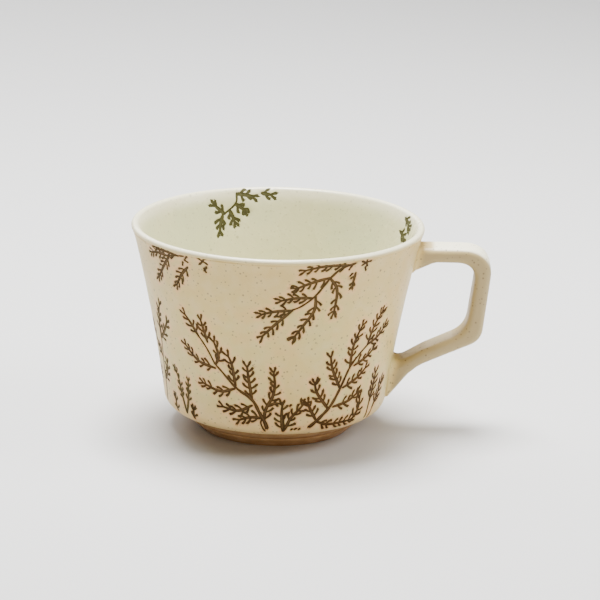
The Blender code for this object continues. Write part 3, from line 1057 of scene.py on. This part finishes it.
def build_strap(name):
    """The strap with its fillets, as one closed skin."""
    outer_s = np.array([outer_edge.nearest(rung[0]) for rung in RUNGS])
    inner_s = np.array([inner_edge.nearest(rung[1]) for rung in RUNGS])
    last = len(RUNGS) - 1
    steps = strap_steps(outer_s)
    numbers = np.arange(len(RUNGS))
    smooth_steps = np.clip(steps, 0, last)
    outer = outer_edge.at(np.interp(smooth_steps, numbers, outer_s))
    inner = inner_edge.at(np.interp(smooth_steps, numbers, inner_s))
    shape, rings = Shape(), []
    for step, top, bottom in zip(steps, outer, inner):
        middle, up = (top + bottom) / 2, (top - bottom) / 2
        half_height = np.linalg.norm(up)
        up = up / half_height
        outer_fillet, inner_fillet = UPPER_FILLETS if step < last / 2 else LOWER_FILLETS
        sunk = ROOT_SUNK if step < 0 or step > last else 0.0
        near_wall = np.clip(1 - min(step, last - step), 0, 1)
        section = strap_section(half_height, STRAP_HALF_WIDTH - SIDE_MARGIN)
        side, across, out_up, out_across = section.T
        fillet = SIDE_FILLET + (outer_fillet - SIDE_FILLET) * np.clip(out_up, 0, 1) ** 2
        fillet = fillet + (inner_fillet - SIDE_FILLET) * np.clip(-out_up, 0, 1) ** 2
        x, z, y = middle[0] + side * up[0], middle[1] + side * up[1], across
        wall_here = skin_radius(z)
        x = x + (np.sqrt(wall_here**2 - y**2) - wall_here) * near_wall**2
        gap = np.clip(np.hypot(x, y) - wall_here, 0, fillet)
        flare = fillet - np.sqrt(fillet**2 - (fillet - gap) ** 2)
        x, z, y = x + flare * out_up * up[0], z + flare * out_up * up[1], y + flare * out_across
        x = x + (skin_radius(z) - wall_radius(z)) * (1 - gap / fillet) * near_wall
        if near_wall > 0.99 or sunk:
            x = np.sqrt(np.maximum(skin_radius(z) ** 2 - y**2, 0)) - WALL_OVERLAP - sunk
        rings.append(shape.add(np.column_stack([AXIS_X + x, y, z])))
    shape.bands(rings)
    shape.close(rings[0])
    shape.close(rings[-1], outward=False)
    return shape.build(name)


handle = build_strap("handle_glazed")

# %% [markdown]
# What carries no pressed marks is simply turned: an outline of radius and height swept round the
# axis. A solid's outline runs from the axis back to the axis, and a ring's closes on itself.

# %% Turned solids
def turn_solid(name, path, columns=96, is_ring=False):
    """A piece turned from an outline of (radius, height)."""
    shape, rings = Shape(), []
    angles = np.linspace(0, 2 * math.pi, columns, endpoint=False)
    for radius, height in path:
        x, y = AXIS_X + radius * np.sin(angles), -radius * np.cos(angles)
        rings.append(shape.add(np.column_stack([x, y, np.full(columns, height)])))
    shape.bands(rings)
    if is_ring:
        shape.band(rings[-1], rings[0])
    else:
        shape.close(rings[0])
        shape.close(rings[-1], outward=False)
    return shape.build(name)


def fine(path, step):
    """The same path with more points, at most a step apart."""
    path = np.vstack(path)
    along = distances(np.diff(path, axis=0))
    return points_at(np.unique(np.r_[np.arange(0, along[-1], step), along]), along, path)


print(len(fine([(0, 0), (10, 0)], 1.0)), "points on a line of 10 mm")

# %% [markdown]
# Under the glaze is the clay itself. It shows only below the glaze line, on the sloping underside,
# where it stands a fraction of a millimetre back from the bead of the glaze.

# %% Clay body
CLAY_UNDER_COAT = 0.8
BARE_STEP = 0.2
UNDER_FLOOR_RADIUS = 20.0
GAP_TO_COAT_END = 4.5

slope = toward((0, 0), np.array(FOOT_TOP) - TURN, 1.0)
inward = np.array([slope[1], -slope[0]])
bare_top = np.array(slope_point(GLAZE_LINE_HEIGHT + 0.6)) + BARE_STEP * inward
bare_low = np.array(slope_point(FOOT_TOP[1] + 0.35)) + BARE_STEP * inward
inside_s = np.linspace(0.8, liner.length - GAP_TO_COAT_END, 60)
outside_s = np.linspace(2.5, wall.length - GAP_TO_COAT_END, 40)
clay_path = fine([
    np.column_stack(liner.at(inside_s, CLAY_UNDER_COAT)),
    [(RIM_RADIUS - 1.5, HEIGHT - 1.1), (RIM_RADIUS - 1.2, HEIGHT - 1.8)],
    np.column_stack(wall.at(outside_s, CLAY_UNDER_COAT)),
    [bare_top],
    [bare_low],
    [(FOOT_TOP[0] - 0.9, FOOT_TOP[1] - 0.1), (UNDER_FLOOR_RADIUS, FOOT_TOP[1] - 0.1)],
], step=1.0)
clay = turn_solid("clay_bare", clay_path)

# %% [markdown]
# The foot ring was trimmed on the wheel, with its two edges softened by a wet finger, and a disc of
# glaze fills the recess inside it. The foot's outline runs down its outside, under its sole and up
# the recess.

# %% Foot ring and base
SOLE_OUTSIDE = 26.0
SOLE_INSIDE = 22.4
BASE_MIDDLE_RADIUS = 0.6

foot_edge, foot_height = FOOT_TOP
foot_start = (foot_edge - 0.15, foot_height + 0.05)
foot_shoulder = (foot_edge - 0.55, foot_height - 0.75)
foot_path = fine([
    [(foot_edge - 1.6, foot_height + 0.5)],
    bend(foot_start, (foot_edge - 0.05, foot_height - 0.25), foot_shoulder, 5),
    bend((SOLE_OUTSIDE + 0.45, 0.6), (SOLE_OUTSIDE + 0.05, 0.0), (SOLE_OUTSIDE - 0.6, 0.0), 6),
    bend((SOLE_INSIDE + 0.8, 0.0), (SOLE_INSIDE + 0.2, 0.0), (SOLE_INSIDE, 0.6), 6),
    [(SOLE_INSIDE - 0.8, foot_height - 0.4), (SOLE_INSIDE - 1.2, foot_height + 0.5)],
], step=0.3)
foot = turn_solid("foot_trimmed", foot_path, columns=144, is_ring=True)

base_edge = (BASE_RADIUS - 0.1, BASE_LOW - 0.25)
base_path = fine([
    [(BASE_MIDDLE_RADIUS, BASE_HIGH), (BASE_RADIUS - 0.3, BASE_HIGH)],
    bend(base_edge, (BASE_RADIUS - 0.6, BASE_LOW), (BASE_RADIUS - 1.6, BASE_LOW), 6),
    [(BASE_MIDDLE_RADIUS, BASE_LOW)],
], step=1.0)
base = turn_solid("glaze_base", base_path)

# %% [markdown]
# The shaders are sums. This small class lets a socket take part in ordinary arithmetic, so that
# what follows reads like a formula, and each finish is written against it.

# %% Shader arithmetic
class Value:
    """A number that a shader works out for every point."""

    def __init__(self, finish, socket):
        self.finish, self.socket = finish, socket

    def math(self, operation, other):
        return self.finish.add("ShaderNodeMath", {"operation": operation}, {0: self, 1: other})

    def __add__(self, other):
        return self.math("ADD", other)

    def __sub__(self, other):
        return self.math("SUBTRACT", other)

    def __mul__(self, other):
        return self.math("MULTIPLY", other)

    def __truediv__(self, other):
        return self.math("DIVIDE", other)

    def __radd__(self, other):
        return self + other

    def __rmul__(self, other):
        return self * other

    def __rsub__(self, other):
        return self.finish.add("ShaderNodeMath", {"operation": "SUBTRACT"}, {0: other, 1: self})

    def step(self, low, high):
        """0 below low, 1 above high, and smooth between them. Low may be the larger one."""
        links = {0: self, 1: low, 2: high}
        return self.finish.add("ShaderNodeMapRange", {"interpolation_type": "SMOOTHSTEP"}, links)


print("Value has", sum(callable(item) for item in vars(Value).values()), "methods")

# %% [markdown]
# A finish is a material round one main shader. Every node comes from one method, add, which sets
# the node's own settings first and its sockets after them. All patterns are in the millimetres of
# the object itself, so they stay on the mug wherever it goes and whatever looks at it.

# %% A finish
class Finish:
    """A material built round one main shader."""

    def __init__(self, name):
        self.material = bpy.data.materials.new(name)
        self.material.use_nodes = True
        self.tree = self.material.node_tree
        self.shader = self.tree.nodes["Principled BSDF"]
        where = self.add("ShaderNodeTexCoord", {}, {}, output="Object")
        self.mm = self.vector("SCALE", {0: where, "Scale": 1 / MM})

    def plug(self, socket, value):
        """Links a socket to a value, or sets it to a constant."""
        if isinstance(value, Value):
            self.tree.links.new(value.socket, socket)
        else:
            socket.default_value = value

    def add(self, kind, settings, links, output=0):
        """Adds a node and returns one of its outputs."""
        node = self.tree.nodes.new(kind)
        for key, value in settings.items():
            setattr(node, key, value)
        for key, value in links.items():
            self.plug(node.inputs[key], value)
        return Value(self, node.outputs[output])

    def vector(self, operation, links, output="Vector"):
        """Vector arithmetic, which keeps a place or a direction whole."""
        return self.add("ShaderNodeVectorMath", {"operation": operation}, links, output)

    def mix(self, factor, a, b):
        """The colour a, with this share of the colour b over it."""
        a, b = (v if isinstance(v, Value) else (*v, 1.0) for v in (a, b))
        return self.add("ShaderNodeMix", {"data_type": "RGBA"}, {0: factor, 6: a, 7: b}, output=2)

    def noise(self, per_mm, detail=2.0, offset=(0, 0, 0)):
        """Soft clouds, about 0.5 on the mean. Another offset gives other clouds."""
        where = self.vector("ADD", {0: self.mm, 1: offset})
        links = {"Vector": where, "Scale": per_mm, "Detail": detail}
        return self.add("ShaderNodeTexNoise", {}, links)

    def attribute(self, name):
        """A value that the mesh itself carries."""
        return self.add("ShaderNodeAttribute", {"attribute_name": name}, {}, output="Fac")

    def specks(self, per_mm, share, radius, offset=(0, 0, 0)):
        """Soft round specks: 1 inside one, 0 outside, in this share of the cells."""
        where = self.vector("ADD", {0: self.mm, 1: offset})
        cell = {"Vector": where, "Scale": per_mm}
        distance = self.add("ShaderNodeTexVoronoi", {}, cell, output="Distance")
        colour = Value(self, distance.socket.node.outputs["Color"])
        pick = self.add("ShaderNodeSeparateColor", {}, {0: colour}, output="Red")
        size = self.add("ShaderNodeSeparateColor", {}, {0: colour}, output="Green")
        reach = radius * per_mm * (0.55 + 0.45 * size)
        return (distance / reach).step(1.0, 0.55) * pick.step(share + 0.01, share - 0.01)

    def radius(self):
        """Distance from the mug's axis, in millimetres."""
        from_axis = self.vector("SUBTRACT", {0: self.mm, 1: (AXIS_X, 0, 0)})
        level = self.vector("MULTIPLY", {0: from_axis, 1: (1, 1, 0)})
        return self.vector("LENGTH", {0: level}, output="Value")

    def height(self):
        """Height over the floor, in millimetres."""
        return self.add("ShaderNodeSeparateXYZ", {}, {0: self.mm}, output="Z")

    def facing(self, direction):
        """1 where the surface faces this way, 0 where it is square to it."""
        face = self.add("ShaderNodeNewGeometry", {}, {}, output="Normal")
        return self.vector("DOT_PRODUCT", {0: face, 1: direction}, output="Value")

    def bump(self, height, distance_mm):
        """A normal for relief that is this deep where the height goes from 0 to 1."""
        links = {"Height": height, "Distance": distance_mm * MM}
        return self.add("ShaderNodeBump", {}, links, output="Normal")

    def surface(self, shader=None, **values):
        """Sets the main shader, or another one, and returns the material."""
        for key, value in values.items():
            socket = (shader or self.shader).inputs[key.replace("_", " ")]
            constant_colour = isinstance(value, tuple) and len(value) == 3
            self.plug(socket, (*value, 1.0) if constant_colour else value)
        return self.material

    def cover(self, share, **values):
        """Covers this share of the surface with a second, matt shader."""
        under = Value(self, self.shader.outputs["BSDF"])
        over = self.add("ShaderNodeBsdfPrincipled", {}, {}, output="BSDF")
        self.surface(over.socket.node, **values)
        both = self.add("ShaderNodeMixShader", {}, {0: share, 1: under, 2: over})
        self.plug(self.tree.nodes["Material Output"].inputs["Surface"], both)


floor_finish = Finish("floor")
print("a new finish has", len(floor_finish.tree.nodes), "nodes")

# %% [markdown]
# The cream glaze is satin. It is a warm stone colour with a greener cast in broad soft clouds and a
# toasted one in smaller ones, pinker near the foot and brighter there as painted bounce light
# from the floor, more shaded towards the rim, and sown with small iron specks. It blushes beside
# the twigs, where the glaze ran thin over their shoulders. On the handle it is painted darker and
# greyer as painted shade, and its upward faces are painted pale as a painted sheen. The pressed
# twigs hold a dark oxide: nearly black-brown where it lies thick, rust at its edge, and an olive
# where a twig was only lightly rubbed. Oxide is matt and glaze shines, so the oxide is a second
# shader, and the mesh itself says where it goes.

# %% Colours of the cream glaze
CREAM = (0.66, 0.49, 0.165)
CREAM_GREEN = (0.61, 0.50, 0.18)
# Pinker glaze near the foot, made brighter as painted bounce light from the floor.
CREAM_PINK_AND_BOUNCE_LIGHT = (0.80, 0.58, 0.25)
CREAM_SHADED = (0.60, 0.43, 0.155)
CREAM_BLUSH = (0.84, 0.47, 0.21)
# Painted sheen: the pale colour laid on the handle's upward faces.
CREAM_PAINTED_SHEEN = (0.83, 0.79, 0.60)
CREAM_TOASTED = (0.70, 0.455, 0.165)
CREAM_MILKY = (0.78, 0.70, 0.53)
# Painted shade: the darker, greyer colour laid over the whole handle.
HANDLE_CREAM_PAINTED_SHADE = (0.43, 0.335, 0.16)
IRON = (0.13, 0.09, 0.045)
RUST = (0.29, 0.145, 0.037)
OXIDE = (0.029, 0.014, 0.002)
OXIDE_WARM = (0.068, 0.030, 0.003)
OLIVE = (0.062, 0.052, 0.014)
print("from cream to oxide:", [round(sum(c) / 3, 3) for c in (CREAM, RUST, OXIDE_WARM, OXIDE)])

# %% Cream glaze
WALL_SLOPE = (NECK[0] - TURN[0]) / (NECK[1] - TURN[1])
# The direction that the handle's faces with the painted sheen point.
PAINTED_SHEEN_FACING = (0.5, 0.0, 0.87)


def speckled(finish, colour, strength):
    """The colour with small and large iron specks in it."""
    small = finish.specks(0.66, 0.8, 0.46)
    large = finish.specks(0.22, 0.6, 0.70, offset=(9, 5, 3))
    colour = finish.mix(small * 0.6 * strength, colour, IRON)
    return finish.mix(large * 0.75 * strength, colour, IRON)


def off_the_wall(finish):
    """How far a point stands outside the straight line of the wall, in millimetres."""
    return finish.radius() - (TURN[0] + (finish.height() - TURN[1]) * WALL_SLOPE)


def cream_glaze(name, pressed_marks):
    """The cream glaze, with or without the marks of the pressed twigs."""
    finish = Finish(name)
    clouds = finish.noise(0.035, detail=3.0)
    toasted = finish.noise(0.1, detail=3.0, offset=(15, 60, 0))
    fine_clouds = finish.noise(0.22, detail=3.0, offset=(40, 0, 0))
    height = finish.height()
    colour = finish.mix(clouds.step(0.38, 0.66), CREAM, CREAM_GREEN)
    colour = finish.mix(toasted.step(0.5, 0.72) * 0.45, colour, CREAM_TOASTED)
    # Pinker towards the foot, and brighter there as painted bounce light from the floor.
    colour = finish.mix(height.step(20.0, 8.0) * 0.8, colour, CREAM_PINK_AND_BOUNCE_LIGHT)
    colour = finish.mix(height.step(44.0, 69.0) * 0.7, colour, CREAM_SHADED)
    colour = finish.mix(fine_clouds.step(0.35, 0.75) * 0.12, colour, CREAM_MILKY)
    off_wall = off_the_wall(finish)
    # Painted sheen: the handle's upward faces, clear of the wall, are painted pale.
    handle_top_painted_sheen = finish.facing(PAINTED_SHEEN_FACING).step(0.48, 0.84) * off_wall.step(3.5, 6.0)
    # Painted shade: the handle, off the line of the wall, is painted darker and greyer.
    colour = finish.mix(off_wall.step(0.3, 3.0), colour, HANDLE_CREAM_PAINTED_SHADE)
    colour = finish.mix(handle_top_painted_sheen, colour, CREAM_PAINTED_SHEEN)
    colour = speckled(finish, colour, 1.0)
    roughness = 0.42 + 0.06 * fine_clouds
    ripple = finish.noise(0.5) + 0.25 * finish.noise(3.0)
    normal = finish.bump(ripple, 0.09)
    if pressed_marks:
        oxide, tone = finish.attribute("oxide"), finish.attribute("tone")
        blush = finish.attribute("blush") * finish.noise(0.3, offset=(0, 0, 60)).step(0.36, 0.56)
        colour = finish.mix(blush * 0.7, colour, CREAM_BLUSH)
        patches = finish.noise(0.9, detail=3.0, offset=(0, 30, 0))
        warmth = finish.noise(0.09, detail=3.0, offset=(70, 0, 0))
        thick = oxide.step(0.36, 0.95) * (0.84 + 0.2 * patches)
        dark = finish.mix(warmth.step(0.42, 0.62) * 0.5, OXIDE, OXIDE_WARM)
        dark = finish.mix(tone, dark, OLIVE)
        colour = finish.mix(oxide.step(0.02, 0.5) * (1 - 0.4 * tone), colour, RUST)
        finish.cover(thick, Base_Color=dark, Roughness=0.75, Specular_IOR_Level=0.1, Normal=normal)
    print(f"{name}: {len(finish.tree.nodes)} nodes")
    return finish.surface(
        Base_Color=colour, Roughness=roughness, Normal=normal, Specular_IOR_Level=0.4
    )


cream = cream_glaze("cream_glaze_pressed", True)
cream_plain = cream_glaze("cream_glaze_plain", False)

# %% [markdown]
# The liner is glossier and paler, a greenish white that turns creamier and paler over the lip,
# where it ran thin, and takes the cream of the outer glaze at the end of its lap. The sprigs under
# it look green, because the oxide dissolved into the glaze, with a soft haze round it.

# %% Liner glaze
LINER_WARM = (0.65, 0.625, 0.385)
LINER_GREEN = (0.60, 0.605, 0.375)
LINER_LIP = (0.74, 0.70, 0.50)
SPRIG_HAZE = (0.20, 0.19, 0.075)
SPRIG_GREEN = (0.050, 0.047, 0.015)
LIP_BAND = (66.0, 71.5)


def liner_glaze(name):
    """The pale glaze inside the mug and over its lip."""
    finish = Finish(name)
    clouds = finish.noise(0.05, detail=3.0, offset=(0, 0, 20))
    radius, height = finish.radius(), finish.height()
    colour = finish.mix(clouds.step(0.35, 0.7), LINER_WARM, LINER_GREEN)
    colour = finish.mix(height.step(*LIP_BAND), colour, LINER_LIP)
    lap = radius.step(RIM_RADIUS - 1.0, RIM_RADIUS - 0.3) * height.step(LIP_BAND[1], LAP_END_HEIGHT)
    colour = finish.mix(lap * 0.85, colour, CREAM)
    colour = speckled(finish, colour, 0.4)
    oxide = finish.attribute("oxide")
    colour = finish.mix(oxide.step(0.02, 0.9) * 0.8, colour, SPRIG_HAZE)
    normal = finish.bump(finish.noise(0.35), 0.12)
    finish.cover(
        oxide.step(0.36, 0.9),
        Base_Color=SPRIG_GREEN,
        Roughness=0.6,
        Specular_IOR_Level=0.15,
        Normal=normal,
    )
    print(f"{name}: {len(finish.tree.nodes)} nodes")
    return finish.surface(Base_Color=colour, Roughness=0.24 + 0.08 * clouds, Normal=normal)


white = liner_glaze("white_glaze")

# %% [markdown]
# The bare clay is a toasted brown stoneware. Trimming left fine rings round it and dragged its grog
# about, so it is rough, and its colour changes from ring to ring.

# %% Bare clay
CLAY_BROWN = (0.35, 0.19, 0.072)
CLAY_TAN = (0.45, 0.26, 0.112)
CLAY_GROOVE = (0.13, 0.07, 0.026)
CLAY_GROG = (0.42, 0.30, 0.16)


def bare_clay(name):
    """Unglazed clay with the rings that the trimming tool left."""
    finish = Finish(name)
    ring_place = finish.add("ShaderNodeCombineXYZ", {}, {0: finish.radius(), 1: finish.height()})
    ring_links = {"Vector": ring_place, "Scale": 2.6, "Detail": 3.0}
    rings = finish.add("ShaderNodeTexNoise", {}, ring_links)
    blotches = finish.noise(0.16, detail=4.0)
    grog = finish.noise(2.2, detail=4.0)
    colour = finish.mix(blotches.step(0.35, 0.68), CLAY_BROWN, CLAY_TAN)
    colour = finish.mix(rings.step(0.45, 0.8) * 0.1, colour, CLAY_GROOVE)
    colour = finish.mix(finish.specks(0.9, 0.4, 0.3) * 0.6, colour, CLAY_GROG)
    normal = finish.bump(0.4 * rings + 0.6 * grog, 0.14)
    print(f"{name}: {len(finish.tree.nodes)} nodes")
    return finish.surface(Base_Color=colour, Roughness=0.78 + 0.1 * grog, Normal=normal)


brown = bare_clay("bare_clay")

# %% [markdown]
# Each piece now gets its finish. The disc in the recess is the same glaze as the wall without the
# marks, and the foot is the same clay as the body.

# %% Finishes on the pieces
for piece, material in (
    (outer_coat, cream),
    (handle, cream_plain),
    (liner_coat, white),
    (base, cream_plain),
    (clay, brown),
    (foot, brown),
):
    piece.data.materials.append(material)
print("materials:", [m.name for m in bpy.data.materials])

# %% [markdown]
# Each finished piece rides on the mug's one body and stands for its CAD nodes, which are hidden but
# stay in the frame. The handle's piece also stands for the two joints of slip, because its fillets
# are their glazed outside.

# %% Tying the pieces to the frame
for piece, nodes, slot in (
    (outer_coat, ["outer_glaze"], "cream_glaze"),
    (handle, ["handle", "handle_glaze", "handle_joint_upper", "handle_joint_lower"], "cream_glaze"),
    (liner_coat, ["liner_glaze"], "white_glaze"),
    (base, ["base_glaze"], "cream_glaze"),
    (clay, ["clay_body"], "bare_clay"),
    (foot, ["foot_ring"], "bare_clay"),
):
    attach(piece, "root")
    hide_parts(*nodes)
    print(f"{piece.name} stands for {', '.join(nodes)}")

# %% [markdown]
# The mug stands on a plain pale floor in soft studio light. The main light is above it and a little
# behind. A broad one behind it, like a window, gives the rim and the handle's top their sheen, one
# at the right lights the handle, and a weak warm one in front opens the shadow on the wall.

# %% Floor and lights
FLOOR_REACH = 3
FLOOR_GREY = (0.60, 0.60, 0.60)
MUG_MIDDLE = Vector((0, 0, 0.03))
WARM_WHITE = (1.0, 0.93, 0.80, 1.0)


def soft_light(name, place, power, size, colour):
    """A square light that points at the middle of the mug."""
    data = bpy.data.lights.new(name, "AREA")
    data.energy, data.size, data.color = power, size, colour
    light = bpy.data.objects.new(name, data)
    light.location = place
    light.rotation_euler = (MUG_MIDDLE - Vector(place)).to_track_quat("-Z", "Y").to_euler()
    bpy.context.scene.collection.objects.link(light)


floor_mesh = bpy.data.meshes.new("floor")
far = FLOOR_REACH
floor_corners = [(-far, -far, 0), (far, -far, 0), (far, far, 0), (-far, far, 0)]
floor_mesh.from_pydata(floor_corners, [], [(0, 1, 2, 3)])
floor = bpy.data.objects.new("floor", floor_mesh)
bpy.context.scene.collection.objects.link(floor)
floor_mesh.materials.append(floor_finish.surface(Base_Color=FLOOR_GREY, Roughness=0.9))

soft_light("above", (-0.05, 0.12, 0.85), 30.0, 0.4, (1.0, 1.0, 1.0))
soft_light("window", (-0.5, 0.85, 0.75), 11.0, 0.9, (1.0, 1.0, 1.0))
soft_light("right", (0.7, -0.05, 0.6), 5.5, 0.4, (1.0, 0.98, 0.95))
soft_light("front", (0.2, -0.85, 0.3), 1.7, 0.6, (1.0, 0.78, 0.52))
world = bpy.data.worlds.new("world")
world.use_nodes = True
background = world.node_tree.nodes["Background"]
background.inputs["Color"].default_value = WARM_WHITE
background.inputs["Strength"].default_value = 0.2
bpy.context.scene.world = world
print(len(bpy.data.lights), "soft lights over a floor", 2 * FLOOR_REACH, "m wide")

# %% [markdown]
# The finished surfaces must stay inside the box of the CAD model.
